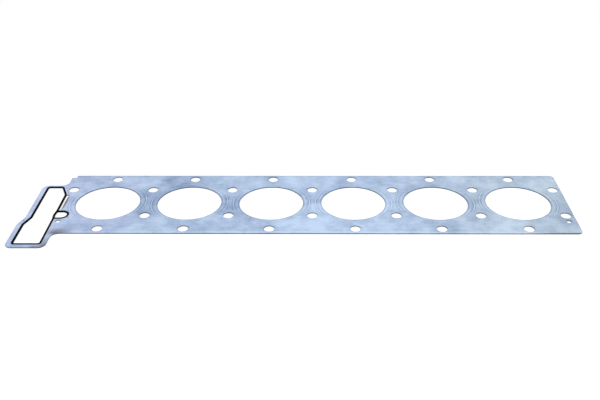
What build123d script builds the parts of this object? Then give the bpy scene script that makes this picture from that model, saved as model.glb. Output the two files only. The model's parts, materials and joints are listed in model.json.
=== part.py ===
"""Cylinder head gasket for a six-cylinder engine, in millimetres.

The gasket lies on the engine's block face. X runs along the cylinder row, from the
timing case at -X to the free end at +X, Y runs across it and Z points up to the head.
The origin is on the block face, in the middle of the cylinder row.

Two pieces make the gasket. The plate is one stamped and embossed steel sheet, with a
window frame at its timing end. The seal is one rubber moulding, which grips the stamped
edge of the window and of the bolt hole beside it.
"""
import os
from math import cos, hypot, radians, sin

from build123d import *

# Cylinder row
CYLINDERS = 6
BORE_PITCH = 168.0
BORE_DIAMETER = 131.0

# Sheet
SHEET_THICKNESS = 1.6
SIDE_MARGIN = 17.0  # from the outer bolt rows to the long edges
END_MARGIN = 16.0  # from the last bolt column to the free end
END_CORNER_RADIUS = 10.0

# Holes: the outer bolt rows lie beside the cylinders, the inner rows between them
BOLT_HOLE_DIAMETER = 21.0
OUTER_ROW_Y = 99.0
FAR_INNER_ROW_Y = 53.5
NEAR_INNER_ROW_Y = -49.5
DOWEL_DIAMETER = 9.6
DOWEL_OFFSET = 23.0  # from the near inner row to the dowel hole of each end column

# Bead embossed round each cylinder bore: a ridge on the head side, hollow beneath
BEAD_RADIUS = 78.2
BEAD_WIDTH = 4.4
BEAD_HEIGHT = 0.3

# Timing window, drawn as the middle line of its seal. The X sizes count from the last
# bolt column towards the timing case, the Y places from the middle of the cylinder row.
WINDOW_NEAR_SIDE = 12.0
WINDOW_SHOULDER = 26.0
WINDOW_FAR_SIDE = 57.5
WINDOW_FOOT = 66.5
WINDOW_TOP_Y = 65.0
WINDOW_SHOULDER_Y = 33.0
WINDOW_KINK_Y = -57.0
WINDOW_FOOT_Y = -84.0
WINDOW_BOTTOM_Y = -154.0
WINDOW_CORNER_RADIUS = 5.0
WINDOW_KINK_RADIUS = 12.0

# Window frame: the steel left from the middle of the seal to the sheet's edge
FRAME_SIDE = 11.5
FRAME_TOP = 7.0
FRAME_BOTTOM = 12.5
FRAME_CORNER_RADIUS = 14.0
FRAME_KINK_RADIUS = 15.0
FRAME_ROOT_RADIUS = 15.0

# Stepped notch in the corner of the sheet above the window frame
NOTCH_LENGTH = 10.0
NOTCH_DEPTH = 10.0
NOTCH_MARGIN = 17.0  # from the last bolt column to the sheet's edge below the notch

# Rubber seal
SEAL_WIDTH = 4.2
SEAL_PROUD = 0.6  # how far it stands off each face of the sheet
SEAL_GRIP = 1.5  # how far the stamped edge reaches into the rubber
SEAL_REBATE = 0.1  # how far each face of that edge is coined down under the rubber
SEAL_CROWN = 0.5
SEAL_ROOT_RADIUS = 1.2

# Loop of the seal round the bolt hole beside the window
LOOP_RADIUS = 13.5
LOOP_OFFSET = 2.0  # from the near inner bolt row to the loop's middle
LOOP_RELIEF = 2.0  # how far the window's side bows away from the loop
LOOP_RELIEF_REACH = 16.0

# Relief slot between the window's seal and the sheet, and the slit that runs out of it
SLOT_MARGIN = 6.5  # from the last bolt column to the slot, beside the loop
SLOT_TOP_MARGIN = 4.9  # the same at the slot's top, where it is wider
SLOT_TOP_Y = 31.0
SLIT_WIDTH = 0.7
SLIT_RUN = 8.6
SLIT_RISE = 20.0

# Clinch marks pressed into the frame
CLINCH_DIAMETER = 3.4
CLINCH_DEPTH = 0.4
LOOP_CLINCH_ANGLE = -31.0

# Worked out from the sizes above
FIRST_BORE_X = -(CYLINDERS - 1) / 2 * BORE_PITCH
FREE_COLUMN_X = CYLINDERS / 2 * BORE_PITCH
TIMING_COLUMN_X = -FREE_COLUMN_X
HALF_WIDTH = OUTER_ROW_Y + SIDE_MARGIN
LOOP_Y = NEAR_INNER_ROW_Y + LOOP_OFFSET
WINDOW_NEAR_X = TIMING_COLUMN_X - WINDOW_NEAR_SIDE
WINDOW_SHOULDER_X = TIMING_COLUMN_X - WINDOW_SHOULDER
WINDOW_FAR_X = TIMING_COLUMN_X - WINDOW_FAR_SIDE
WINDOW_FOOT_X = TIMING_COLUMN_X - WINDOW_FOOT
SEAL_HALF = SEAL_WIDTH / 2
STAMPED_EDGE = SEAL_HALF - SEAL_GRIP  # from the middle of the seal to the steel


def closed_outline(corners):
    """Face inside straight runs joined by arcs; each corner is (x, y, radius)."""
    points = [(x, y) for x, y, _ in corners]
    radii = [radius for _, _, radius in corners]
    return make_face(FilletPolyline(*points, radius=radii, close=True))


def sheet_outline():
    """Outside edge of the sheet, from the near corner of its free end."""
    end_x = FREE_COLUMN_X + END_MARGIN
    notch_x = TIMING_COLUMN_X - NOTCH_MARGIN
    frame_top_y = WINDOW_TOP_Y + FRAME_TOP
    frame_bottom_y = WINDOW_BOTTOM_Y - FRAME_BOTTOM
    return closed_outline([
        (end_x, -HALF_WIDTH, END_CORNER_RADIUS),
        (end_x, HALF_WIDTH, END_CORNER_RADIUS),
        (notch_x + NOTCH_LENGTH, HALF_WIDTH, 0),
        (notch_x + NOTCH_LENGTH, HALF_WIDTH - NOTCH_DEPTH, 0),
        (notch_x, HALF_WIDTH - NOTCH_DEPTH, 0),
        (notch_x, frame_top_y, FRAME_ROOT_RADIUS),
        (WINDOW_FAR_X - FRAME_SIDE, frame_top_y, FRAME_CORNER_RADIUS),
        (WINDOW_FAR_X - FRAME_SIDE, WINDOW_KINK_Y, FRAME_KINK_RADIUS),
        (WINDOW_FOOT_X - FRAME_SIDE, WINDOW_FOOT_Y, FRAME_KINK_RADIUS),
        (WINDOW_FOOT_X - FRAME_SIDE, frame_bottom_y, FRAME_CORNER_RADIUS),
        (WINDOW_NEAR_X + FRAME_SIDE, frame_bottom_y, FRAME_CORNER_RADIUS),
        (WINDOW_NEAR_X + FRAME_SIDE, -HALF_WIDTH, FRAME_ROOT_RADIUS),
    ])


def window_face():
    """Area inside the middle line of the window's seal, from its far top corner."""
    return closed_outline([
        (WINDOW_FAR_X, WINDOW_TOP_Y, WINDOW_CORNER_RADIUS),
        (WINDOW_SHOULDER_X, WINDOW_TOP_Y, WINDOW_CORNER_RADIUS),
        (WINDOW_NEAR_X, WINDOW_SHOULDER_Y, WINDOW_CORNER_RADIUS),
        (WINDOW_NEAR_X, LOOP_Y + LOOP_RELIEF_REACH, WINDOW_CORNER_RADIUS),
        (WINDOW_NEAR_X - LOOP_RELIEF, LOOP_Y, WINDOW_KINK_RADIUS),
        (WINDOW_NEAR_X, LOOP_Y - LOOP_RELIEF_REACH, WINDOW_CORNER_RADIUS),
        (WINDOW_NEAR_X, WINDOW_BOTTOM_Y, WINDOW_CORNER_RADIUS),
        (WINDOW_FOOT_X, WINDOW_BOTTOM_Y, WINDOW_CORNER_RADIUS),
        (WINDOW_FOOT_X, WINDOW_FOOT_Y, WINDOW_KINK_RADIUS),
        (WINDOW_FAR_X, WINDOW_KINK_Y, WINDOW_KINK_RADIUS),
    ])


def loop_face(radius):
    """Area of the loop: a round end on the bolt column, running back to the window."""
    reach = WINDOW_NEAR_SIDE + LOOP_RELIEF
    round_end = Pos(TIMING_COLUMN_X, LOOP_Y) * Circle(radius)
    run_back = Pos(TIMING_COLUMN_X - reach / 2, LOOP_Y) * Rectangle(reach, 2 * radius)
    return round_end + run_back


def slot_face():
    """Relief slot and its slit; the window's seal closes the side away from the sheet."""
    slot_x = TIMING_COLUMN_X - SLOT_MARGIN
    slot_top_x = TIMING_COLUMN_X - SLOT_TOP_MARGIN
    loop_side_y = LOOP_Y + LOOP_RADIUS
    slot = Polyline(
        (slot_top_x, SLOT_TOP_Y),
        (WINDOW_NEAR_X, SLOT_TOP_Y),
        (WINDOW_NEAR_X, loop_side_y),
        (slot_x, loop_side_y),
        close=True,
    )
    across_x = SLIT_WIDTH * SLIT_RISE / hypot(SLIT_RUN, SLIT_RISE)
    across_y = SLIT_WIDTH * SLIT_RUN / hypot(SLIT_RUN, SLIT_RISE)
    slit = Polyline(
        (slot_top_x, SLOT_TOP_Y),
        (slot_top_x - SLIT_RUN, SLOT_TOP_Y + SLIT_RISE),
        (slot_top_x - SLIT_RUN - across_x, SLOT_TOP_Y + SLIT_RISE - across_y),
        (slot_top_x - across_x, SLOT_TOP_Y - across_y),
        close=True,
    )
    return make_face(slot) + make_face(slit)


def bolt_places():
    """Middles of the bolt holes, apart from the one inside the seal's loop."""
    beside_bores = [FIRST_BORE_X + i * BORE_PITCH for i in range(CYLINDERS)]
    between_bores = [TIMING_COLUMN_X + i * BORE_PITCH for i in range(CYLINDERS + 1)]
    outer_rows = [(x, side * OUTER_ROW_Y) for x in beside_bores for side in (-1, 1)]
    far_inner_row = [(x, FAR_INNER_ROW_Y) for x in between_bores]
    near_inner_row = [(x, NEAR_INNER_ROW_Y) for x in between_bores[1:]]
    return outer_rows + far_inner_row + near_inner_row


def sheet_blank():
    """Flat stamping, with every hole through it."""
    blank = sheet_outline() - slot_face()
    blank -= offset(window_face(), STAMPED_EDGE) + loop_face(LOOP_RADIUS + STAMPED_EDGE)
    for i in range(CYLINDERS):
        blank -= Pos(FIRST_BORE_X + i * BORE_PITCH, 0) * Circle(BORE_DIAMETER / 2)
    for x, y in bolt_places():
        blank -= Pos(x, y) * Circle(BOLT_HOLE_DIAMETER / 2)
    for x in (TIMING_COLUMN_X, FREE_COLUMN_X):
        blank -= Pos(x, NEAR_INNER_ROW_Y - DOWEL_OFFSET) * Circle(DOWEL_DIAMETER / 2)
    return blank


def bead_ring(base_z):
    """Ring of two shallow flanks that meet in a crest, standing on the plane at base_z."""
    section = Polyline(
        (BEAD_RADIUS - BEAD_WIDTH / 2, 0, base_z),
        (BEAD_RADIUS, 0, base_z + BEAD_HEIGHT),
        (BEAD_RADIUS + BEAD_WIDTH / 2, 0, base_z),
        close=True,
    )
    return revolve(make_face(section), Axis.Z)


def clinch_places():
    """One mark in the frame's slanted side, and one beside the seal's loop."""
    side_x = (WINDOW_FAR_X + WINDOW_FOOT_X) / 2 - (FRAME_SIDE + SEAL_HALF) / 2
    side_y = (WINDOW_KINK_Y + WINDOW_FOOT_Y) / 2
    out = LOOP_RADIUS + SEAL_HALF + CLINCH_DIAMETER
    angle = radians(LOOP_CLINCH_ANGLE)
    return [
        (side_x, side_y),
        (TIMING_COLUMN_X + out * cos(angle), LOOP_Y + out * sin(angle)),
    ]


def at_loop_root(corner):
    """Whether a corner of the seal is one where the loop's legs leave the window."""
    from_leg = abs(abs(corner.Y - LOOP_Y) - LOOP_RADIUS)
    return corner.X < TIMING_COLUMN_X - 1 and abs(from_leg - SEAL_HALF) < 0.01


def seal_block(bottom, top):
    """The seal's plan, window and loop, as a block with upright sides."""
    window_outside = offset(window_face(), SEAL_HALF)
    band = window_outside + loop_face(LOOP_RADIUS + SEAL_HALF)
    band -= offset(window_face(), -SEAL_HALF)
    band -= loop_face(LOOP_RADIUS - SEAL_HALF) - window_outside
    block = extrude(Pos(0, 0, bottom) * band, top - bottom)
    roots = [edge for edge in block.edges().filter_by(Axis.Z) if at_loop_root(edge.center())]
    return fillet(roots, SEAL_ROOT_RADIUS)


def gasket_plate():
    """Stamped sheet with its bore beads, clinch marks and the coined edge for the seal."""
    plate = extrude(sheet_blank(), SHEET_THICKNESS)
    plate -= seal_block(0, SEAL_REBATE)
    plate -= seal_block(SHEET_THICKNESS - SEAL_REBATE, SHEET_THICKNESS)
    for i in range(CYLINDERS):
        place = Pos(FIRST_BORE_X + i * BORE_PITCH, 0)
        plate += place * bead_ring(SHEET_THICKNESS)
        plate -= place * bead_ring(0)
    for x, y in clinch_places():
        plate -= Pos(x, y, SHEET_THICKNESS) * Cylinder(CLINCH_DIAMETER / 2, 2 * CLINCH_DEPTH)
    return plate


def timing_seal(plate):
    """Rubber moulded over the stamped edge, with a crown on both faces of the sheet."""
    rubber = seal_block(-SEAL_PROUD, SHEET_THICKNESS + SEAL_PROUD)
    rims = [rim for face in rubber.faces().filter_by(Axis.Z) for rim in face.edges()]
    return chamfer(rims, SEAL_CROWN) - plate


os.makedirs("parts", exist_ok=True)
plate = gasket_plate()
export_step(plate, "parts/gasket_plate.step")
export_step(timing_seal(plate), "parts/timing_seal.step")
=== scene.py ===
"""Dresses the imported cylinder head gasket: its stamped steel sheet, its rubber seal and the stage.

Everything is in metres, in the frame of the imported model: X along the cylinder row, Y across it
and Z up from the engine block to the head.
"""

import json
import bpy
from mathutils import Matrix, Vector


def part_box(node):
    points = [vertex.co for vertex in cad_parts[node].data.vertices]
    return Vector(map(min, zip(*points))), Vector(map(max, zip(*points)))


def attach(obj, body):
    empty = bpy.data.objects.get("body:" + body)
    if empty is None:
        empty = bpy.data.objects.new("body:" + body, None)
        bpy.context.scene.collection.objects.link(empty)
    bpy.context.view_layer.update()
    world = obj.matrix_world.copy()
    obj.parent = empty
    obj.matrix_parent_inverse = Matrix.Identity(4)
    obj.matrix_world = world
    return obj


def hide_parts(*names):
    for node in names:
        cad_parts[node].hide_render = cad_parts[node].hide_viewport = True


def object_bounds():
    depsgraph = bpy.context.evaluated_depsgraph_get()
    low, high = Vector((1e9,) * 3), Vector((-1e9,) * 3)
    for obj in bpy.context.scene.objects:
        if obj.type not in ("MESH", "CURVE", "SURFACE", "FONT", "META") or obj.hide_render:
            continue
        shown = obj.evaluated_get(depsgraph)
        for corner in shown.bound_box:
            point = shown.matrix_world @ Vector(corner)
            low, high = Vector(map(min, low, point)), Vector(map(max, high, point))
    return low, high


bl_info = {
    "name": "Cylinder Head Gasket",
    "version": (1, 0, 0),
    "blender": (4, 5, 0),
    "location": "View3D > Sidebar > Gasket",
    "description": "Builds a six-cylinder steel head gasket with a rubber-edged timing window",
    "category": "Add Mesh",
}

from math import atan2, ceil, cos, hypot, pi, radians, sin, tan

import bmesh
import bpy
from bpy.props import FloatProperty, FloatVectorProperty, PointerProperty
from mathutils import Matrix, Vector
from mathutils.geometry import delaunay_2d_cdt

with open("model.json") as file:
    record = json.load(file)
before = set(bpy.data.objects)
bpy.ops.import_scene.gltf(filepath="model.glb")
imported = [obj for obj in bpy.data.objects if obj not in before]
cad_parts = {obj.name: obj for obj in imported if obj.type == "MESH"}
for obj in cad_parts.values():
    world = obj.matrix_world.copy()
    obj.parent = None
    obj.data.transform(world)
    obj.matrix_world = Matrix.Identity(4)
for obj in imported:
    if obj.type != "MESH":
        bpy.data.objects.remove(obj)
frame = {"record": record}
CAD_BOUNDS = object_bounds()
MOUNTS = {mount["name"]: mount for mount in frame["record"]["mounts"]}
SHEET_LOW, SHEET_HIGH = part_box("gasket_plate")
SEAL_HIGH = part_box("timing_seal")[1]
MM = 0.001

# Sheet, from the frame
SHEET_TOP = MOUNTS["head_face"]["pos_m"][2]
SHEET_BOTTOM = MOUNTS["block_face"]["pos_m"][2]
BEAD_HEIGHT = SHEET_HIGH.z - SHEET_TOP
BORE_PITCH = MOUNTS["cylinder_bore_2"]["pos_m"][0] - MOUNTS["cylinder_bore_1"]["pos_m"][0]
BORES = [mount for name, mount in MOUNTS.items() if name.startswith("cylinder_bore")]
FAR_EDGE_Y = SHEET_HIGH.y
NEAR_EDGE_Y = -FAR_EDGE_Y
TIMING_COLUMN_X = MOUNTS["inner_bolt_timing_end"]["pos_m"][0]

# Sheet, as in the part
END_CORNER_RADIUS = 10 * MM
BEAD_RADIUS = 78.2 * MM
BEAD_WIDTH = 4.4 * MM
NOTCH_LENGTH = 10 * MM
NOTCH_DEPTH = 10 * MM
NOTCH_MARGIN = 17 * MM
NOTCH_CORNER_RADIUS = 1.1 * MM
SLOT_CORNER_RADIUS = 0.6 * MM

# Timing window, drawn as the middle line of its seal
WINDOW_NEAR_X = TIMING_COLUMN_X - 12 * MM
WINDOW_SHOULDER_X = TIMING_COLUMN_X - 26 * MM
WINDOW_FAR_X = TIMING_COLUMN_X - 57.5 * MM
WINDOW_FOOT_X = TIMING_COLUMN_X - 66.5 * MM
WINDOW_TOP_Y = 65 * MM
WINDOW_SHOULDER_Y = 33 * MM
WINDOW_KINK_Y = -57 * MM
WINDOW_FOOT_Y = -84 * MM
WINDOW_BOTTOM_Y = -154 * MM
WINDOW_CORNER_RADIUS = 5 * MM
WINDOW_KINK_RADIUS = 12 * MM

# Window frame
FRAME_SIDE = 11.5 * MM
FRAME_TOP = 7 * MM
FRAME_CORNER_RADIUS = 14 * MM
FRAME_KINK_RADIUS = 15 * MM

# Seal and its loop round the bolt hole beside the window
SEAL_HALF = 2.1 * MM
SEAL_GRIP = 1.5 * MM
STAMPED_EDGE = SEAL_HALF - SEAL_GRIP
SEAL_FLANK = 0.1 * MM
SEAL_DOME = 1.2 * MM
SEAL_ROOT_RADIUS = 1.2 * MM
LOOP_Y = -47.5 * MM
LOOP_RADIUS = 13.5 * MM
LOOP_RELIEF = 2 * MM
LOOP_RELIEF_REACH = 16 * MM

# Relief slot beside the window's seal, and the slit that runs out of it
SLOT_X = TIMING_COLUMN_X - 6.5 * MM
SLOT_TOP_X = TIMING_COLUMN_X - 4.9 * MM
SLOT_TOP_Y = 31 * MM
SLIT_RUN = 8.6 * MM
SLIT_RISE = 20 * MM
SLIT_WIDTH = 0.7 * MM
SLIT_TIP_RADIUS = SLIT_WIDTH / 3

# Clinch marks pressed into the frame
CLINCH_RADIUS = 1.7 * MM
CLINCH_PLACES = ((-572.8 * MM, -70.5 * MM), (-487.71 * MM, -57.29 * MM))

# How finely round shapes are cut
SMALLEST_RADIUS = 0.1 * MM
SAME_POINT = 1e-7
ARC_STEP = radians(6)
BORE_POINTS = 180
HOLE_POINTS = 64
CLINCH_POINTS = 32
BEAD_STEPS = 10
DOME_STEPS = 7

# Sections of the punched edges in millimetres, as (distance from the edge, drop below the face)
OUTSIDE_EDGE = ((1.0, 0.03), (0.4, 0.06), (0.12, 0.1), (0.03, 0.13), (0, 0.17))
HOLE_EDGE = ((2.1, 0), (0.9, 0.02), (0.35, 0.05), (0.1, 0.09), (0.02, 0.12), (0, 0.16))
SLOT_EDGE = ((0.55, 0), (0.25, 0.02), (0.1, 0.05), (0.02, 0.1), (0, 0.15))
UNDER_EDGE = ((0, 0.06), (0.02, 0.02), (0.1, 0))
MARK_EDGE = ((0.3, 0), (0.1, 0.03), (0, 0.1), (-0.08, 0.3), (-0.3, 0.4))
STEEP = 2  # fall over run from which a ring of an edge counts as cut metal
DROOP_REACH = 2.2 * MM

# Where the steel's marks lie: the reach of the painted shade along the rims, the width of the painted shade
# along the far edge, the webs and the rings in them
EDGE_SHADE_REACH = 2.5 * MM
FAR_EDGE_SHADE_WIDTH = 4 * MM
WEB_REACH = 60 * MM
RINGS_FADE = (88 * MM, 104 * MM)
# How the painted shade at a bead's feet fades away from them
BEAD_FOOT_SHADE_FALL = -0.4

# How much each mark brightens the steel, and the sum of them that still counts as dark
MARK_WEIGHTS = {
    "clouds": 0.45,
    "mottle": 0.34,
    "streaks": 0.5,
    "speckle": 0.35,
    "rings": 0.72,
    # painted highlight on each bead's crest, partly burnish, and painted shade at its feet
    "bead": 0.28,
    "pressed": -0.03,
    # painted shade along every edge of the sheet
    "edge": -0.5,
    # painted shade along the far edge
    "far_line": -0.4,
}
DARK_LEVEL = 0.13

# Roughness that the clouds and streaks add, the lightest level of the cut edge, and the rubber's skin
CLOUD_ROUGHNESS = 0.08
STREAK_ROUGHNESS = 0.1
CUT_EDGE_SPREAD = 1.5
RUBBER_ROUGHNESS = 0.45
BLOOM_ROUGHNESS = 0.15

# Sockets of the Mix node that share a name, by their number
MIX_VALUE_A = 2
MIX_VALUE_B = 3
MIX_COLOUR_A = 6
MIX_COLOUR_B = 7
MIX_COLOUR_OUT = 2

# Patches of the sheet that are brighter or duller than the rest, as (x, y, reach x, reach y, weight)
PATCHES = (
    (-0.3, 0.09, 0.09, 0.06, -0.4),
    (-0.335, 0.0, 0.05, 0.1, -0.35),
    (-0.17, 0.0, 0.05, 0.1, -0.25),
    (0.32, 0.0, 0.045, 0.1, -0.3),
    (-0.43, -0.1, 0.07, 0.04, -0.2),
    (0.25, -0.09, 0.05, 0.05, -0.3),
    (0.25, 0.09, 0.06, 0.05, -0.15),
    (0.52, -0.04, 0.06, 0.12, -0.35),
    # painted light on the frame's left end, offsetting the dimmer room at the left
    (-0.55, -0.02, 0.1, 0.2, 0.22),
    (-0.02, -0.09, 0.1, 0.05, 0.35),
    (0.38, -0.09, 0.09, 0.05, 0.2),
    (-0.04, 0.09, 0.06, 0.05, 0.2),
    (-0.345, 0.09, 0.035, 0.045, 0.3),
    (-0.44, 0.08, 0.05, 0.04, -0.15),
    (-0.08, 0.085, 0.045, 0.04, -0.25),
    (0.07, 0.08, 0.04, 0.05, -0.18),
    (-0.07, -0.1, 0.05, 0.035, -0.25),
    (0.31, -0.1, 0.04, 0.04, 0.15),
    (0.46, -0.1, 0.06, 0.035, -0.15),
    (-0.2, -0.09, 0.035, 0.04, -0.12),
    (-0.482, -0.04, 0.035, 0.07, 0.22),
    # painted highlight along the near edge
    (0.0, -0.1115, 0.75, 0.0045, 0.35),
)
# Tints that multiply the steel's colour, as (x, y, reach x, reach y, tint)
TINTS = (
    (0.5, 0.0, 0.45, 0.4, (1.02, 0.99, 0.9)),
    (-0.5, 0.0, 0.25, 0.3, (1.02, 0.97, 1.0)),
)
# Dark spots, as (x, y, reach x, reach y, how strong): the first five darken the frame's near corner, its
# fillet and its bottom edge; the last two are painted shadow beside the relief slot and along the near edge
# at the raised free end
DARK_SPOTS_AND_SHADOWS = (
    (-0.495, -0.112, 0.035, 0.02, 0.6),
    (-0.508, -0.15, 0.02, 0.03, 0.4),
    (-0.507, -0.161, 0.014, 0.013, 0.6),
    (-0.497, -0.115, 0.018, 0.008, 0.6),
    (-0.524, -0.164, 0.016, 0.006, 0.5),
    # painted shadow along the relief slot's right side
    (-0.5075, 0.002, 0.0034, 0.045, 1.0),
    # painted shadow along the near edge under the raised free end
    (0.5, -0.117, 0.12, 0.007, 0.9),
)

# Stage: the room's light over each axis of direction, as (axis, from, to, level at from, level at to)
ROOM_RAMPS = (
    ("Z", 0.15, 0.42, 0.8, 1.0),
    ("Z", 0.57, 0.72, 1.0, 1.12),
    ("Z", 0.72, 0.92, 1.0, 0.78),
    ("X", -0.62, -0.4, 0.3, 0.96),
    ("X", -0.25, 0.05, 0.97, 1.04),
)
FLOOR_REACH = 8.0
KEY_PLACE = (1.4, -1.2, 2.2)
KEY_SIZE = 1.4
FILL_PLACE = (-1.8, -0.6, 2.0)
FILL_SIZE = 1.8


def rounded_outline(corners):
    """Closed anticlockwise outline as (x, y, outward x, outward y); each corner is (x, y, radius)."""
    outline = []
    for i, (x, y, radius) in enumerate(corners):
        here = Vector((x, y))
        back = (Vector(corners[i - 1][:2]) - here).normalized()
        ahead = (Vector(corners[(i + 1) % len(corners)][:2]) - here).normalized()
        half = back.angle(ahead) / 2
        centre = here + (back + ahead).normalized() * radius / sin(half)
        turns_left = back.x * ahead.y - back.y * ahead.x < 0
        side = 1 if turns_left else -1
        start = here + back * radius / tan(half) - centre
        first = atan2(start.y, start.x)
        turn = side * (pi - 2 * half)
        steps = max(3, ceil(abs(turn) / ARC_STEP))
        for k in range(steps + 1):
            angle = first + turn * k / steps
            away = Vector((cos(angle), sin(angle)))
            point = centre + away * radius
            outline.append((point.x, point.y, side * away.x, side * away.y))
    return outline


def grown_corners(corners, distance):
    """Corners of the outline that runs parallel to an anticlockwise one, outside it by distance."""
    grown = []
    for i, (x, y, radius) in enumerate(corners):
        here = Vector((x, y))
        arriving = (here - Vector(corners[i - 1][:2])).normalized()
        leaving = (Vector(corners[(i + 1) % len(corners)][:2]) - here).normalized()
        out = Vector((arriving.y + leaving.y, -arriving.x - leaving.x)).normalized()
        spread = out.dot(Vector((leaving.y, -leaving.x)))
        turns_left = arriving.x * leaving.y - arriving.y * leaving.x > 0
        moved = here + out * distance / spread
        bend = radius + distance if turns_left else radius - distance
        grown.append((moved.x, moved.y, max(bend, SMALLEST_RADIUS)))
    return grown


def circle_outline(x, y, radius, count):
    """Round outline with count points, in the form that rounded_outline gives."""
    outline = []
    for k in range(count):
        angle = 2 * pi * k / count
        outline.append((x + radius * cos(angle), y + radius * sin(angle), cos(angle), sin(angle)))
    return outline


def sheet_corners():
    """Outside edge of the sheet, from the near corner of its free end."""
    notch_x = TIMING_COLUMN_X - NOTCH_MARGIN
    frame_top_y = WINDOW_TOP_Y + FRAME_TOP
    near_x = WINDOW_NEAR_X + FRAME_SIDE
    return [
        (SHEET_HIGH.x, NEAR_EDGE_Y, END_CORNER_RADIUS),
        (SHEET_HIGH.x, FAR_EDGE_Y, END_CORNER_RADIUS),
        (notch_x + NOTCH_LENGTH, FAR_EDGE_Y, NOTCH_CORNER_RADIUS),
        (notch_x + NOTCH_LENGTH, FAR_EDGE_Y - NOTCH_DEPTH, NOTCH_CORNER_RADIUS),
        (notch_x, FAR_EDGE_Y - NOTCH_DEPTH, NOTCH_CORNER_RADIUS),
        (notch_x, frame_top_y, FRAME_KINK_RADIUS),
        (WINDOW_FAR_X - FRAME_SIDE, frame_top_y, FRAME_CORNER_RADIUS),
        (WINDOW_FAR_X - FRAME_SIDE, WINDOW_KINK_Y, FRAME_KINK_RADIUS),
        (SHEET_LOW.x, WINDOW_FOOT_Y, FRAME_KINK_RADIUS),
        (SHEET_LOW.x, SHEET_LOW.y, FRAME_CORNER_RADIUS),
        (near_x, SHEET_LOW.y, FRAME_CORNER_RADIUS),
        (near_x, NEAR_EDGE_Y, FRAME_KINK_RADIUS),
    ]


def window_far_corners():
    """Middle line of the window's seal, from its shoulder round the far side to its foot."""
    return [
        (WINDOW_SHOULDER_X, WINDOW_TOP_Y, WINDOW_CORNER_RADIUS),
        (WINDOW_FAR_X, WINDOW_TOP_Y, WINDOW_CORNER_RADIUS),
        (WINDOW_FAR_X, WINDOW_KINK_Y, WINDOW_KINK_RADIUS),
        (WINDOW_FOOT_X, WINDOW_FOOT_Y, WINDOW_KINK_RADIUS),
        (WINDOW_FOOT_X, WINDOW_BOTTOM_Y, WINDOW_CORNER_RADIUS),
        (WINDOW_NEAR_X, WINDOW_BOTTOM_Y, WINDOW_CORNER_RADIUS),
    ]


def window_corners():
    """Whole middle line of the window's seal, which bows away from the loop."""
    return window_far_corners() + [
        (WINDOW_NEAR_X, LOOP_Y - LOOP_RELIEF_REACH, WINDOW_CORNER_RADIUS),
        (WINDOW_NEAR_X - LOOP_RELIEF, LOOP_Y, WINDOW_KINK_RADIUS),
        (WINDOW_NEAR_X, LOOP_Y + LOOP_RELIEF_REACH, WINDOW_CORNER_RADIUS),
        (WINDOW_NEAR_X, WINDOW_SHOULDER_Y, WINDOW_CORNER_RADIUS),
    ]


def outside_of_window(distance):
    """Corners parallel to the window's middle line, from its shoulder round to its foot."""
    corners = grown_corners(window_corners(), distance)
    return corners[:len(window_far_corners())], corners[-1]


def loop_corners(distance, root_radius):
    """Corners of the loop's outside, which lies outside its middle line by distance."""
    radius = LOOP_RADIUS + distance
    side_x = WINDOW_NEAR_X + distance
    end_x = TIMING_COLUMN_X + radius
    return [
        (side_x, LOOP_Y - radius, root_radius),
        (end_x, LOOP_Y - radius, radius),
        (end_x, LOOP_Y + radius, radius),
        (side_x, LOOP_Y + radius, root_radius),
    ]


def seal_outside():
    """Outer edge of the rubber, round the window and the loop."""
    far, shoulder = outside_of_window(SEAL_HALF)
    return rounded_outline(far + loop_corners(SEAL_HALF, SEAL_ROOT_RADIUS) + [shoulder])


def loop_opening():
    """Edge of the rubber round the bolt hole inside the loop."""
    radius = LOOP_RADIUS - SEAL_HALF
    end_x = TIMING_COLUMN_X + radius
    middle_x = WINDOW_NEAR_X - LOOP_RELIEF + SEAL_HALF
    side_x = middle_x + LOOP_RELIEF * radius / LOOP_RELIEF_REACH
    return rounded_outline([
        (side_x, LOOP_Y - radius, SEAL_ROOT_RADIUS),
        (end_x, LOOP_Y - radius, radius),
        (end_x, LOOP_Y + radius, radius),
        (side_x, LOOP_Y + radius, SEAL_ROOT_RADIUS),
        (middle_x, LOOP_Y, WINDOW_KINK_RADIUS + SEAL_HALF),
    ])


def stamped_opening():
    """Edge of the steel round the window and the loop, with the relief slot and its slit."""
    far, shoulder = outside_of_window(STAMPED_EDGE)
    loop = loop_corners(STAMPED_EDGE, SLOT_CORNER_RADIUS)
    slit_length = hypot(SLIT_RUN, SLIT_RISE)
    across_x = SLIT_WIDTH * SLIT_RISE / slit_length
    across_y = SLIT_WIDTH * SLIT_RUN / slit_length
    mouth = SLIT_WIDTH * slit_length / SLIT_RISE
    tip = (SLOT_TOP_X - SLIT_RUN, SLOT_TOP_Y + SLIT_RISE)
    return rounded_outline(far + loop[:3] + [
        (SLOT_X, loop[3][1], SLOT_CORNER_RADIUS),
        (SLOT_TOP_X, SLOT_TOP_Y, SLOT_CORNER_RADIUS),
        (tip[0], tip[1], SLIT_TIP_RADIUS),
        (tip[0] - across_x, tip[1] - across_y, SLIT_TIP_RADIUS),
        (SLOT_TOP_X - mouth, SLOT_TOP_Y, SLOT_CORNER_RADIUS),
        (WINDOW_NEAR_X + STAMPED_EDGE, SLOT_TOP_Y, SLOT_CORNER_RADIUS),
        shoulder,
    ])


def bolt_holes():
    """Middle and radius of each hole of the bolt and dowel patterns, from the frame's mounts."""
    holes = []
    for mount in MOUNTS.values():
        if mount["kind"] != "bolt_pattern":
            continue
        x, y, _ = mount["pos_m"]
        sizes = mount["dims"]
        reach_x = sizes.get("spacing_x_mm", 0) * MM / 2
        reach_y = sizes.get("spacing_y_mm", 0) * MM / 2
        places = {(x + i * reach_x, y + j * reach_y) for i in (-1, 1) for j in (-1, 1)}
        holes += [(place, sizes["hole_r_mm"] * MM) for place in sorted(places)]
    single = MOUNTS["inner_bolt_timing_end"]
    return holes + [(tuple(single["pos_m"][:2]), single["dims"]["r_mm"] * MM)]


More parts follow.
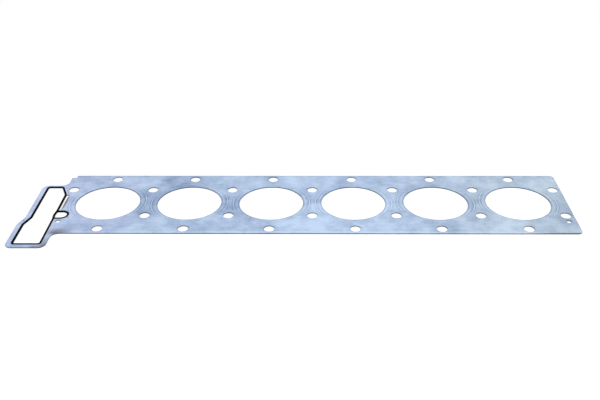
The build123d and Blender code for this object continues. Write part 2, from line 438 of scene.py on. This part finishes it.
def punched_section(upper):
    """Section of an edge from the sheet's top face round to its underside, as (inset, z)."""
    section = [(inset * MM, SHEET_TOP - drop * MM) for inset, drop in upper]
    section += [(inset * MM, SHEET_BOTTOM + rise * MM) for inset, rise in UNDER_EDGE]
    return section


def bore_section(radius):
    """Section from outside the bead, over it to the bore's edge and back beneath it."""
    bead = []
    for k in range(BEAD_STEPS + 1):
        share = 2 * k / BEAD_STEPS - 1
        inset = BEAD_RADIUS - BEAD_WIDTH / 2 * share - radius
        bead.append((inset, BEAD_HEIGHT * (1 - share ** 2)))
    over = [(inset, SHEET_TOP + lift) for inset, lift in bead]
    under = [(inset, SHEET_BOTTOM + lift) for inset, lift in reversed(bead)]
    return over + punched_section(HOLE_EDGE) + under


def dome_section():
    """Rounded top of the rubber, from its flat crest down to its flank, as (inset, z)."""
    rise = SEAL_HIGH.z - SHEET_TOP - SEAL_FLANK
    section = []
    for k in range(DOME_STEPS + 1):
        angle = pi / 2 * k / DOME_STEPS
        section.append((SEAL_DOME * (1 - sin(angle)), SEAL_HIGH.z - rise * (1 - cos(angle))))
    return section


def seal_section(grip):
    """Section of the rubber's edge, top to bottom, gripping the steel by grip."""
    dome = dome_section()
    middle = (SHEET_TOP + SHEET_BOTTOM) / 2
    below = [(inset, 2 * middle - z) for inset, z in reversed(dome)]
    quarter = (SHEET_TOP - SHEET_BOTTOM) / 4
    upper_lip, lower_lip = (SHEET_TOP, SHEET_BOTTOM) if grip else (middle + quarter, middle - quarter)
    return dome + [(0, SHEET_TOP), (grip, upper_lip), (grip, lower_lip), (0, SHEET_BOTTOM)] + below


def beside_slot(x, y):
    """Whether a point of the rubber's outer edge faces the open slot and not the steel."""
    return WINDOW_NEAR_X < x < SLOT_X and LOOP_Y < y < SLOT_TOP_Y


def section_normals(section, last=-1):
    """Directions that a section's points face, as (inset, z); the last point faces straight down or up."""
    first_fall = SHEET_TOP - section[0][1]
    normals = [(-first_fall / DROOP_REACH * 2, 1) if 0 < first_fall < SHEET_TOP / 2 else (0, 1)]
    for before, here, after in zip(section, section[1:], section[2:]):
        inset = (here[1] - before[1]) + (after[1] - here[1])
        lift = (before[0] - here[0]) + (here[0] - after[0])
        length = hypot(inset, lift) or 1
        normals.append((inset / length, lift / length))
    return normals + [(0, last)]


class EdgedSheet:
    """A flat piece with shaped edges: rings of points run down each edge, and flat faces join them."""

    def __init__(self):
        self.bm = bmesh.new()
        self.normals = []
        self.painted_edge_shade = []
        self.tops = []
        self.bottoms = []

    def add_point(self, place, normal, painted_edge_shade):
        """One vertex with the direction that its shading faces and its share of the painted edge shade."""
        self.normals.append(Vector(normal).normalized())
        self.painted_edge_shade.append(painted_edge_shade)
        return self.bm.verts.new(place)

    def add_rings(self, outline, sections, side, last=-1):
        """Rings down an edge; side is 1 round an opening and -1 round the outside."""
        rings = [[] for _ in sections[0]]
        for (x, y, out_x, out_y), section in zip(outline, sections):
            normals = section_normals(section, last)
            reach = min(EDGE_SHADE_REACH, section[0][0])
            for ring, (inset, z), (tilt, lift) in zip(rings, section, normals):
                place = (x + side * out_x * inset, y + side * out_y * inset, z)
                normal = (side * out_x * tilt, side * out_y * tilt, lift)
                # Painted edge shade: 1 at the edge, 0 at reach from it
                painted_edge_shade = max(0, 1 - inset / reach)
                ring.append(self.add_point(place, normal, painted_edge_shade))
        return rings

    def join_rings(self, rings, section, side):
        """Quads between neighbouring rings; steep ones are cut metal, in the second slot."""
        for k, (ring, following) in enumerate(zip(rings, rings[1:])):
            run = abs(section[k + 1][0] - section[k][0])
            fall = abs(section[k + 1][1] - section[k][1])
            for j in range(len(ring)):
                quad = [ring[j - 1], following[j - 1], following[j], ring[j]]
                if side > 0:
                    quad.reverse()
                self.bm.faces.new(quad).material_index = int(fall > STEEP * run)

    def add_edge(self, outline, section, side):
        """A whole edge, from the top face to the underside; section may be a function of x and y."""
        sections = [section(x, y) if callable(section) else section for x, y, _, _ in outline]
        rings = self.add_rings(outline, sections, side)
        self.join_rings(rings, sections[0], side)
        self.tops.append(rings[0])
        self.bottoms.append(rings[-1])

    def ease_edge(self, outline):
        """Lets the flat top begin at an outline inside the last edge, with a slight droop between them."""
        flat = [self.add_point((x, y, SHEET_TOP), (0, 0, 1), 0) for x, y, _, _ in outline]
        self.fill([self.tops.pop(), flat], True)
        self.tops.append(flat)

    def add_mark(self, outline, section):
        """A round mark pressed into the top face, closed at its floor."""
        rings = self.add_rings(outline, [section] * len(outline), 1, last=1)
        self.join_rings(rings, section, 1)
        self.bm.faces.new(rings[-1])
        self.tops.append(rings[0])

    def fill(self, rings, upward):
        """Flat face inside the first ring and outside all the others."""
        points = [vert for ring in rings for vert in ring]
        faces = []
        start = 0
        for ring in rings:
            faces.append(list(range(start, start + len(ring))))
            start += len(ring)
        flat = [vert.co.xy for vert in points]
        only_inside = 1
        _, _, triangles, origins, _, owners = delaunay_2d_cdt(flat, [], faces, only_inside, SAME_POINT)
        for triangle, inside in zip(triangles, owners):
            if list(inside) != [0]:
                continue
            corners = [points[origins[i][0]] for i in triangle]
            edge, other = corners[1].co - corners[0].co, corners[2].co - corners[0].co
            if (edge.cross(other).z > 0) != upward:
                corners.reverse()
            self.bm.faces.new(corners)

    def finish(self, name, materials):
        """Closes the flat faces and returns the object."""
        self.fill(self.tops, True)
        self.fill(self.bottoms, False)
        mesh = bpy.data.meshes.new(name)
        self.bm.to_mesh(mesh)
        self.bm.free()
        mesh.polygons.foreach_set("use_smooth", [True] * len(mesh.polygons))
        mesh.normals_split_custom_set_from_vertices(self.normals)
        painted_edge_shade = mesh.attributes.new("edge_shade", "FLOAT", "POINT")
        painted_edge_shade.data.foreach_set("value", self.painted_edge_shade)
        for material in materials:
            mesh.materials.append(material)
        piece = bpy.data.objects.new(name, mesh)
        bpy.context.scene.collection.objects.link(piece)
        return piece


def put(tree, kind, inputs=None, **settings):
    """Adds a node; inputs holds values, or the sockets that feed them, and settings its options."""
    node = tree.nodes.new(kind)
    for name, value in settings.items():
        setattr(node, name, value)
    for key, value in (inputs or {}).items():
        if isinstance(value, bpy.types.NodeSocket):
            tree.links.new(value, node.inputs[key])
        else:
            node.inputs[key].default_value = value
    return node


def sum_of(tree, *terms):
    """Socket that adds up (socket, weight) terms."""
    total = 0.0
    for socket, weight in terms:
        step = put(tree, "ShaderNodeMath", {0: socket, 1: weight, 2: total}, operation="MULTIPLY_ADD")
        total = step.outputs[0]
    return total


def new_group(name, inputs, output):
    """Empty shader group with named inputs, as (name, kind, default), and one output."""
    tree = bpy.data.node_groups.new(name, "ShaderNodeTree")
    for title, kind, default in inputs:
        socket = tree.interface.new_socket(title, in_out="INPUT", socket_type=kind)
        if default is not None:
            socket.default_value = default
    tree.interface.new_socket(output, in_out="OUTPUT", socket_type="NodeSocketFloat")
    return tree, tree.nodes.new("NodeGroupInput").outputs, tree.nodes.new("NodeGroupOutput").inputs


def cloudy_group():
    """Soft patches: 0 in the low parts of a noise and 1 in its high parts."""
    tree, given, out = new_group("cloudy_patches", [
        ("Vector", "NodeSocketVector", None),
        ("Scale", "NodeSocketFloat", 10.0),
        ("Low", "NodeSocketFloat", 0.3),
        ("High", "NodeSocketFloat", 0.7),
    ], "Mask")
    noise = put(tree, "ShaderNodeTexNoise", {
        "Vector": given["Vector"], "Scale": given["Scale"], "Detail": 4.0, "Roughness": 0.6,
    })
    spread = put(tree, "ShaderNodeMapRange", {
        "Value": noise.outputs[0], "From Min": given["Low"], "From Max": given["High"],
    }, interpolation_type="SMOOTHSTEP")
    tree.links.new(spread.outputs[0], out[0])
    return tree


def grain_group():
    """Fine streaks drawn out along X, as rolling leaves them."""
    tree, given, out = new_group("rolling_grain", [
        ("Vector", "NodeSocketVector", None),
        ("Scale", "NodeSocketFloat", 500.0),
        ("Stretch", "NodeSocketVector", (0.05, 1.0, 1.0)),
    ], "Value")
    drawn = put(tree, "ShaderNodeVectorMath", {0: given["Vector"], 1: given["Stretch"]}, operation="MULTIPLY")
    noise = put(tree, "ShaderNodeTexNoise", {
        "Vector": drawn.outputs[0], "Scale": given["Scale"], "Detail": 3.0, "Roughness": 0.65,
    })
    tree.links.new(noise.outputs[0], out[0])
    return tree


def spot_group():
    """One soft-edged oval: 1 in its middle and 0 outside it."""
    tree, given, out = new_group("soft_spot", [
        ("Vector", "NodeSocketVector", None),
        ("Middle", "NodeSocketVector", (0.0, 0.0, 0.0)),
        ("Reach", "NodeSocketVector", (0.1, 0.1, 0.1)),
    ], "Mask")
    away = put(tree, "ShaderNodeVectorMath", {0: given["Vector"], 1: given["Middle"]}, operation="SUBTRACT")
    share = put(tree, "ShaderNodeVectorMath", {0: away.outputs[0], 1: given["Reach"]}, operation="DIVIDE")
    length = put(tree, "ShaderNodeVectorMath", {0: share.outputs[0]}, operation="LENGTH")
    fade = put(tree, "ShaderNodeMapRange", {
        "Value": length.outputs["Value"], "From Min": 0.1, "From Max": 1.0, "To Min": 1.0, "To Max": 0.0,
    }, interpolation_type="SMOOTHERSTEP")
    tree.links.new(fade.outputs[0], out[0])
    return tree


def bore_radius_group():
    """Distance from the axis of the nearest bore, in a row of bores along X."""
    tree, given, out = new_group("bore_radius", [
        ("Vector", "NodeSocketVector", None),
        ("Pitch", "NodeSocketFloat", 0.1),
        ("Half row", "NodeSocketFloat", 0.3),
    ], "Value")
    place = put(tree, "ShaderNodeSeparateXYZ", {0: given["Vector"]})
    half_way = put(tree, "ShaderNodeMath", {0: given["Pitch"], 1: 0.5}, operation="MULTIPLY")
    along = put(tree, "ShaderNodeMath", {0: place.outputs[0]}, operation="ABSOLUTE")
    in_row = put(tree, "ShaderNodeMath", {0: along.outputs[0], 1: given["Half row"]}, operation="MINIMUM")
    past_row = put(tree, "ShaderNodeMath", {0: along.outputs[0], 1: in_row.outputs[0]}, operation="SUBTRACT")
    moved = put(tree, "ShaderNodeMath", {0: in_row.outputs[0], 1: given["Pitch"]}, operation="PINGPONG")
    local_x = put(tree, "ShaderNodeMath", {0: moved.outputs[0], 1: half_way.outputs[0]}, operation="SUBTRACT")
    full_x = put(tree, "ShaderNodeMath", {0: local_x.outputs[0], 1: past_row.outputs[0]}, operation="ADD")
    flat = put(tree, "ShaderNodeCombineXYZ", {0: full_x.outputs[0], 1: place.outputs[1]})
    radius = put(tree, "ShaderNodeVectorMath", {0: flat.outputs[0]}, operation="LENGTH")
    tree.links.new(radius.outputs["Value"], out[0])
    return tree


def bead_light_shade_group():
    """Light and shade painted across a pressed ring: 1 on its line, a painted highlight that is partly
    burnish, below 0 at both its feet as painted shade, and 0 far off.
    """
    tree, given, out = new_group("pressed_ring", [
        ("Radius", "NodeSocketFloat", 0.0),
        ("Middle", "NodeSocketFloat", 0.1),
        ("Half width", "NodeSocketFloat", 0.002),
    ], "Value")
    away = put(tree, "ShaderNodeMath", {0: given["Radius"], 1: given["Middle"]}, operation="SUBTRACT")
    share = put(tree, "ShaderNodeMath", {0: away.outputs[0], 1: given["Half width"]}, operation="DIVIDE")
    square = put(tree, "ShaderNodeMath", {0: share.outputs[0], 1: share.outputs[0]}, operation="MULTIPLY")
    crest = put(tree, "ShaderNodeMath", {0: 1.0, 1: square.outputs[0]}, operation="SUBTRACT")
    fall = put(tree, "ShaderNodeMath", {0: square.outputs[0], 1: BEAD_FOOT_SHADE_FALL}, operation="MULTIPLY")
    fade = put(tree, "ShaderNodeMath", {0: fall.outputs[0]}, operation="EXPONENT")
    value = put(tree, "ShaderNodeMath", {0: crest.outputs[0], 1: fade.outputs[0]}, operation="MULTIPLY")
    tree.links.new(value.outputs[0], out[0])
    return tree


def use_group(tree, name, inputs):
    """Places a shared shader group and returns its output."""
    return put(tree, "ShaderNodeGroup", inputs, node_tree=bpy.data.node_groups[name]).outputs[0]


def new_material(name):
    """Material with only a Principled BSDF, as (material, tree, shader)."""
    material = bpy.data.materials.new(name)
    material.use_nodes = True
    tree = material.node_tree
    return material, tree, tree.nodes["Principled BSDF"]


def blend_colours(tree, share, low, high, blend="MIX"):
    """Socket that goes from colour low to colour high with share."""
    mix = put(tree, "ShaderNodeMix", {
        "Factor": share, MIX_COLOUR_A: low, MIX_COLOUR_B: high,
    }, data_type="RGBA", blend_type=blend)
    return mix.outputs[MIX_COLOUR_OUT]


def spot(tree, place, x, y, reach_x, reach_y):
    """Mask of one soft oval on the sheet's top face."""
    return use_group(tree, "soft_spot", {
        "Vector": place, "Middle": (x, y, SHEET_TOP), "Reach": (reach_x, reach_y, 1),
    })


def steel_material(settings):
    """Pale rolled steel: clouds, streaks along X, rings in the webs between bores and darkened spots, with
    painted light and shade: highlights on the beads' crests, along the near edge and at the frame's left end,
    and shade at the beads' feet, along every rim, along the far edge and in two spots by the slot and the
    free end.
    """
    material, tree, shader = new_material("rolled_steel")
    place = put(tree, "ShaderNodeTexCoord").outputs["Object"]
    clouds = use_group(tree, "cloudy_patches", {"Vector": place, "Scale": 11.0, "Low": 0.3, "High": 0.7})
    mottle = use_group(tree, "cloudy_patches", {"Vector": place, "Scale": 38.0, "Low": 0.25, "High": 0.75})
    streaks = use_group(tree, "rolling_grain", {"Vector": place, "Scale": 260.0, "Stretch": (0.16, 1, 1)})
    speckle = use_group(tree, "rolling_grain", {"Vector": place, "Scale": 300.0, "Stretch": (1, 0.6, 1)})
    radius = use_group(tree, "bore_radius", {
        "Vector": place, "Pitch": BORE_PITCH, "Half row": len(BORES) / 2 * BORE_PITCH,
    })
    # Painted highlight on the bead's crest and painted shade at its feet, kept to the webs below
    bead = use_group(tree, "pressed_ring", {
        "Radius": radius, "Middle": BEAD_RADIUS, "Half width": BEAD_WIDTH / 4,
    })
    rings = put(tree, "ShaderNodeTexNoise", {
        "W": radius, "Scale": 220.0, "Detail": 2.0,
    }, noise_dimensions="1D")
    pressed = put(tree, "ShaderNodeMapRange", {
        "Value": radius, "From Min": BEAD_RADIUS - BEAD_WIDTH, "From Max": BEAD_RADIUS + 2 * BEAD_WIDTH,
        "To Min": 1.0, "To Max": 0.0,
    })
    # Painted shade along every edge of the sheet, read from the edge_shade attribute
    edge = put(tree, "ShaderNodeAttribute", attribute_name="edge_shade").outputs["Fac"]
    across = put(tree, "ShaderNodeSeparateXYZ", {0: place}).outputs["Y"]
    # Painted shade along the far edge
    far_line = put(tree, "ShaderNodeMapRange", {
        "Value": across, "From Min": FAR_EDGE_Y - FAR_EDGE_SHADE_WIDTH, "From Max": FAR_EDGE_Y,
    })
    distance = put(tree, "ShaderNodeMath", {0: across}, operation="ABSOLUTE")
    web = put(tree, "ShaderNodeMapRange", {
        "Value": distance.outputs[0], "From Min": WEB_REACH / 2, "From Max": WEB_REACH,
        "To Min": 1.0, "To Max": 0.2,
    }, interpolation_type="SMOOTHSTEP")
    bead_light_shade_mark = put(tree, "ShaderNodeMath", {0: bead, 1: web.outputs[0]}, operation="MULTIPLY")
    about_middle = put(tree, "ShaderNodeMath", {0: rings.outputs[0], 1: 0.5}, operation="SUBTRACT")
    near_bore = put(tree, "ShaderNodeMapRange", {
        "Value": radius, "From Min": RINGS_FADE[0], "From Max": RINGS_FADE[1],
        "To Min": 1.0, "To Max": 0.0,
    })
    ring_web = put(tree, "ShaderNodeMath", {0: near_bore.outputs[0], 1: web.outputs[0]}, operation="MULTIPLY")
    ring_mark = put(tree, "ShaderNodeMath", {0: about_middle.outputs[0], 1: ring_web.outputs[0]},
                    operation="MULTIPLY")
    marks = {
        "clouds": clouds,
        "mottle": mottle,
        "streaks": streaks,
        "speckle": speckle,
        "rings": ring_mark.outputs[0],
        "bead": bead_light_shade_mark.outputs[0],
        "pressed": pressed.outputs[0],
        "edge": edge,
        "far_line": far_line.outputs[0],
    }
    terms = [(marks[name], weight) for name, weight in MARK_WEIGHTS.items()]
    terms += [(spot(tree, place, *where), weight) for *where, weight in PATCHES]
    share = put(tree, "ShaderNodeMath", {
        0: sum_of(tree, *terms), 1: DARK_LEVEL,
    }, operation="SUBTRACT", use_clamp=True)
    colour = blend_colours(tree, share.outputs[0], (*settings.dark_steel, 1), (*settings.light_steel, 1))
    for *where, tint in TINTS:
        colour = blend_colours(tree, spot(tree, place, *where), colour, (*tint, 1), "MULTIPLY")
    # Dark spots blend the steel towards the darkening colour; two of them are painted shadow
    for *where, weight in DARK_SPOTS_AND_SHADOWS:
        darkened = put(tree, "ShaderNodeMath", {0: spot(tree, place, *where), 1: weight}, operation="MULTIPLY")
        colour = blend_colours(tree, darkened.outputs[0], colour, (*settings.darkening, 1))
    tree.links.new(colour, shader.inputs["Base Color"])
    roughness = sum_of(tree, (clouds, CLOUD_ROUGHNESS), (streaks, STREAK_ROUGHNESS))
    rough = put(tree, "ShaderNodeMath", {0: roughness, 1: settings.roughness}, operation="ADD")
    tree.links.new(rough.outputs[0], shader.inputs["Roughness"])
    broad = put(tree, "ShaderNodeBump", {"Height": clouds, "Distance": 0.2 * MM})
    fine = put(tree, "ShaderNodeBump", {
        "Height": streaks, "Distance": 0.006 * MM, "Normal": broad.outputs[0],
    })
    tree.links.new(fine.outputs[0], shader.inputs["Normal"])
    shader.inputs["Metallic"].default_value = 1.0
    return material


def cut_edge_material(settings):
    """Rougher metal where the sheet was punched through, darkened nearly to black: partly the duller sheared
    metal, partly painted shade on the walls.
    """
    material, tree, shader = new_material("punched_edge")
    place = put(tree, "ShaderNodeTexCoord").outputs["Object"]
    mottle = use_group(tree, "cloudy_patches", {"Vector": place, "Scale": 300.0, "Low": 0.3, "High": 0.7})
    lighter = [CUT_EDGE_SPREAD * level for level in settings.cut_edge]
    colour = blend_colours(tree, mottle, (*settings.cut_edge, 1), (*lighter, 1))
    tree.links.new(colour, shader.inputs["Base Color"])
    bump = put(tree, "ShaderNodeBump", {"Height": mottle, "Distance": 0.02 * MM})
    tree.links.new(bump.outputs[0], shader.inputs["Normal"])
    shader.inputs["Metallic"].default_value = 1.0
    shader.inputs["Roughness"].default_value = 0.5
    return material


def rubber_material(settings):
    """Black moulded rubber with a faint bloom and a finely rough skin."""
    material, tree, shader = new_material("moulded_rubber")
    place = put(tree, "ShaderNodeTexCoord").outputs["Object"]
    bloom = use_group(tree, "cloudy_patches", {"Vector": place, "Scale": 90.0, "Low": 0.45, "High": 0.85})
    skin = use_group(tree, "cloudy_patches", {"Vector": place, "Scale": 2500.0, "Low": 0.3, "High": 0.7})
    colour = blend_colours(tree, bloom, (*settings.rubber, 1), (*settings.bloom, 1))
    tree.links.new(colour, shader.inputs["Base Color"])
    bump = put(tree, "ShaderNodeBump", {"Height": skin, "Distance": 0.02 * MM})
    tree.links.new(bump.outputs[0], shader.inputs["Normal"])
    rough = put(tree, "ShaderNodeMath", {
        0: bloom, 1: BLOOM_ROUGHNESS, 2: RUBBER_ROUGHNESS,
    }, operation="MULTIPLY_ADD")
    tree.links.new(rough.outputs[0], shader.inputs["Roughness"])
    shader.inputs["Specular IOR Level"].default_value = 0.02
    return material


def floor_material(settings):
    """White floor that keeps shadows: it shows a little brighter to the camera than it is lit."""
    material, tree, shader = new_material("white_floor")
    shader.inputs["Base Color"].default_value = (*settings.floor_colour, 1)
    shader.inputs["Roughness"].default_value = 0.9
    shader.inputs["Specular IOR Level"].default_value = 0.0
    shader.inputs["Emission Color"].default_value = (1, 1, 1, 1)
    rays = put(tree, "ShaderNodeLightPath")
    seen = put(tree, "ShaderNodeMath", {0: rays.outputs["Is Camera Ray"], 1: rays.outputs["Is Glossy Ray"]},
               operation="MAXIMUM")
    lift = put(tree, "ShaderNodeMath", {0: seen.outputs[0], 1: settings.floor_lift}, operation="MULTIPLY")
    tree.links.new(lift.outputs[0], shader.inputs["Emission Strength"])
    return material


class SheetSettings(bpy.types.PropertyGroup):
    """Finish of the steel sheet."""
    dark_steel: FloatVectorProperty(
        name="Dark steel", description="Steel in the dull patches", subtype="COLOR", size=3,
        min=0, max=1, default=(0.204, 0.298, 0.485))
    light_steel: FloatVectorProperty(
        name="Light steel", description="Steel in the bright patches", subtype="COLOR", size=3,
        min=0, max=1, default=(0.572, 0.72, 0.945))
    # Colour that the dark spots blend towards, the painted shadows among them
    darkening: FloatVectorProperty(
        name="Stain", description="Brownish tint of the few stains", subtype="COLOR", size=3,
        min=0, max=1, default=(0.16, 0.13, 0.15))
    # Near black: partly the sheared metal's own tone, partly painted shade on the walls
    cut_edge: FloatVectorProperty(
        name="Cut edge", description="Metal where the sheet was punched through", subtype="COLOR", size=3,
        min=0, max=1, default=(0.02, 0.024, 0.035))
    roughness: FloatProperty(
        name="Roughness", description="Roughness of the smoothest steel", min=0, max=1, default=0.2)


class SealSettings(bpy.types.PropertyGroup):
    """Size and finish of the rubber seal."""
    grip: FloatProperty(
        name="Grip", description="How far the steel reaches into the rubber", unit="LENGTH",
        min=0, default=SEAL_GRIP)
    rubber: FloatVectorProperty(
        name="Rubber", description="Clean rubber", subtype="COLOR", size=3,
        min=0, max=1, default=(0.0012, 0.0012, 0.0018))
    bloom: FloatVectorProperty(
        name="Bloom", description="Rubber under its dull bloom", subtype="COLOR", size=3,
        min=0, max=1, default=(0.003, 0.003, 0.004))


class StageSettings(bpy.types.PropertyGroup):
    """Floor, light and camera."""
    floor_colour: FloatVectorProperty(
        name="Floor", description="Colour of the floor", subtype="COLOR", size=3,
        min=0, max=1, default=(0.85, 0.85, 0.85))
    floor_lift: FloatProperty(
        name="Floor lift", description="Glow that turns the lit floor white", min=0, default=0.45)
    ambient: FloatProperty(
        name="Ambient light", description="Strength of the light from all round", min=0, default=0.6)
    reflected: FloatProperty(
        name="Reflected room", description="Brightness of the room in the metal", min=0, default=1.0)
    key_power: FloatProperty(
        name="Key light", description="Lamp at the front right", unit="POWER", min=0, default=24.0)
    fill_power: FloatProperty(
        name="Fill light", description="Larger lamp at the left", unit="POWER", min=0, default=14.0)
    distance: FloatProperty(
        name="Distance", description="From the camera to the point it looks at", unit="LENGTH",
        min=0.1, default=1.657)
    azimuth: FloatProperty(
        name="Azimuth", description="Turn of the camera about Z", subtype="ANGLE", default=radians(1.0))
    elevation: FloatProperty(
        name="Elevation", description="Height of the camera above the floor", subtype="ANGLE",
        default=radians(30.32))
    roll: FloatProperty(
        name="Roll", description="Turn of the camera about its own axis", subtype="ANGLE",
        default=radians(-0.466))
    target: FloatVectorProperty(
        name="Target", description="Point that the camera looks at", subtype="TRANSLATION", size=3,
        default=(-0.0254, 0.0138, 0.0))
    lens: FloatProperty(
        name="Lens", description="Focal length in millimetres", min=10, default=48.13)


class GASKET_OT_shared_finishes(bpy.types.Operator):
    """Make the shader groups that the materials share"""
    bl_idname = "gasket.shared_finishes"
    bl_label = "Shared Finishes"

    def execute(self, context):
        for make in (cloudy_group, grain_group, spot_group, bore_radius_group, bead_light_shade_group):
            make()
        return {"FINISHED"}


class GASKET_OT_sheet(bpy.types.Operator):
    """Make the stamped sheet with its beads, bolt holes, window and clinch marks"""
    bl_idname = "gasket.sheet"
    bl_label = "Stamped Sheet"

    def execute(self, context):
        settings = context.scene.gasket_sheet
        sheet = EdgedSheet()
        sheet.add_edge(rounded_outline(sheet_corners()), punched_section(OUTSIDE_EDGE), -1)
        sheet.ease_edge(rounded_outline(grown_corners(sheet_corners(), -DROOP_REACH)))
        sheet.add_edge(stamped_opening(), punched_section(SLOT_EDGE), 1)
        for bore in BORES:
            x, y, _ = bore["pos_m"]
            radius = bore["dims"]["r_mm"] * MM
            sheet.add_edge(circle_outline(x, y, radius, BORE_POINTS), bore_section(radius), 1)
        for (x, y), radius in bolt_holes():
            sheet.add_edge(circle_outline(x, y, radius, HOLE_POINTS), punched_section(HOLE_EDGE), 1)
        mark = [(inset * MM, SHEET_TOP - drop * MM) for inset, drop in MARK_EDGE]
        for x, y in CLINCH_PLACES:
            sheet.add_mark(circle_outline(x, y, CLINCH_RADIUS, CLINCH_POINTS), mark)
        piece = sheet.finish("stamped_sheet", [steel_material(settings), cut_edge_material(settings)])
        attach(piece, "root")
        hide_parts("gasket_plate")
        return {"FINISHED"}


class GASKET_OT_seal(bpy.types.Operator):
    """Make the rubber seal round the timing window and its bolt hole"""
    bl_idname = "gasket.seal"
    bl_label = "Rubber Seal"

    def execute(self, context):
        settings = context.scene.gasket_seal
        seal = EdgedSheet()
        plain = seal_section(0)
        gripping = seal_section(settings.grip)
        seal.add_edge(seal_outside(), lambda x, y: plain if beside_slot(x, y) else gripping, -1)
        for opening in (rounded_outline(grown_corners(window_corners(), -SEAL_HALF)), loop_opening()):
            seal.add_edge(opening, plain, 1)
        piece = seal.finish("rubber_seal", [rubber_material(settings)])
        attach(piece, "root")
        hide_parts("timing_seal")
        return {"FINISHED"}


def add_lamp(name, place, aim, size, power):
    """Square soft lamp at place that faces aim."""
    light = bpy.data.lights.new(name, "AREA")
    light.size = size
    light.energy = power
    lamp = bpy.data.objects.new(name, light)
    lamp.location = place
    lamp.rotation_euler = (Vector(aim) - Vector(place)).to_track_quat("-Z", "Y").to_euler()
    bpy.context.scene.collection.objects.link(lamp)


def add_floor(settings):
    """Wide white floor under the lowest point of the gasket."""
    z = CAD_BOUNDS[0][2]
    corners = [(i * FLOOR_REACH, j * FLOOR_REACH, z) for i, j in ((-1, -1), (1, -1), (1, 1), (-1, 1))]
    mesh = bpy.data.meshes.new("floor")
    mesh.from_pydata(corners, [], [(0, 1, 2, 3)])
    mesh.materials.append(floor_material(settings))
    floor = bpy.data.objects.new("floor", mesh)
    bpy.context.scene.collection.objects.link(floor)


def add_room(settings):
    """Plain room: white to the camera; its light is dimmer low down, straight overhead and at the left."""
    world = bpy.data.worlds.new("white_room")
    world.use_nodes = True
    bpy.context.scene.world = world
    tree = world.node_tree
    rays = put(tree, "ShaderNodeLightPath").outputs
    direction = put(tree, "ShaderNodeTexCoord").outputs["Generated"]
    parts = put(tree, "ShaderNodeSeparateXYZ", {0: direction}).outputs
    level = put(tree, "ShaderNodeMix", {
        "Factor": rays["Is Glossy Ray"], MIX_VALUE_A: settings.ambient, MIX_VALUE_B: settings.reflected,
    }).outputs[0]
    for axis, start, end, low, high in ROOM_RAMPS:
        share = put(tree, "ShaderNodeMapRange", {
            "Value": parts[axis], "From Min": start, "From Max": end, "To Min": low, "To Max": high,
        }, interpolation_type="SMOOTHSTEP")
        level = put(tree, "ShaderNodeMath", {0: level, 1: share.outputs[0]}, operation="MULTIPLY").outputs[0]
    shown = put(tree, "ShaderNodeMix", {
        "Factor": rays["Is Camera Ray"], MIX_VALUE_A: level, MIX_VALUE_B: 1.0,
    })
    tree.links.new(shown.outputs[0], tree.nodes["Background"].inputs["Strength"])
    tree.nodes["Background"].inputs["Color"].default_value = (1, 1, 1, 1)


def add_camera(settings):
    """Camera that looks down on the gasket from the front."""
    azimuth, elevation = settings.azimuth, settings.elevation
    back = Vector((sin(azimuth) * cos(elevation), -cos(azimuth) * cos(elevation), sin(elevation)))
    level = Vector((cos(azimuth), sin(azimuth), 0))
    upright = back.cross(level)
    right = level * cos(settings.roll) + upright * sin(settings.roll)
    up = back.cross(right)
    lens = bpy.data.cameras.new("camera")
    lens.lens = settings.lens
    lens.sensor_fit = "HORIZONTAL"
    camera = bpy.data.objects.new("camera", lens)
    place = Vector(settings.target) + back * settings.distance
    camera.matrix_world = Matrix((right, up, back)).transposed().to_4x4()
    camera.location = place
    bpy.context.scene.collection.objects.link(camera)
    bpy.context.scene.camera = camera


class GASKET_OT_stage(bpy.types.Operator):
    """Set up the floor, the room, the lamps and the camera"""
    bl_idname = "gasket.stage"
    bl_label = "Stage"

    def execute(self, context):
        settings = context.scene.gasket_stage
        add_floor(settings)
        add_room(settings)
        add_lamp("key_lamp", KEY_PLACE, (0, 0, 0), KEY_SIZE, settings.key_power)
        add_lamp("fill_lamp", FILL_PLACE, (0, 0, 0), FILL_SIZE, settings.fill_power)
        add_camera(settings)
        context.scene.view_settings.view_transform = "Standard"
        return {"FINISHED"}


class GASKET_PT_panel(bpy.types.Panel):
    """Settings and build steps of the head gasket"""
    bl_idname = "GASKET_PT_panel"
    bl_label = "Head Gasket"
    bl_space_type = "VIEW_3D"
    bl_region_type = "UI"
    bl_category = "Gasket"

    def draw(self, context):
        for operator, group in STEPS:
            box = self.layout.box()
            box.operator(operator.bl_idname)
            if group:
                settings = getattr(context.scene, group)
                for name in settings.__annotations__:
                    box.prop(settings, name)


STEPS = (
    (GASKET_OT_shared_finishes, None),
    (GASKET_OT_sheet, "gasket_sheet"),
    (GASKET_OT_seal, "gasket_seal"),
    (GASKET_OT_stage, "gasket_stage"),
)
GROUPS = {"gasket_sheet": SheetSettings, "gasket_seal": SealSettings, "gasket_stage": StageSettings}
CLASSES = (*GROUPS.values(), *(operator for operator, _ in STEPS), GASKET_PT_panel)


def register():
    """Registers the classes and their settings."""
    for cls in CLASSES:
        bpy.utils.register_class(cls)
    for name, group in GROUPS.items():
        setattr(bpy.types.Scene, name, PointerProperty(type=group))


def unregister():
    """Removes what register added."""
    for name in GROUPS:
        delattr(bpy.types.Scene, name)
    for cls in reversed(CLASSES):
        bpy.utils.unregister_class(cls)


def main():
    """Builds every piece and the stage."""
    register()
    bpy.ops.gasket.shared_finishes()
    bpy.ops.gasket.sheet()
    bpy.ops.gasket.seal()
    bpy.ops.gasket.stage()


if __name__ == "__main__":
    main()
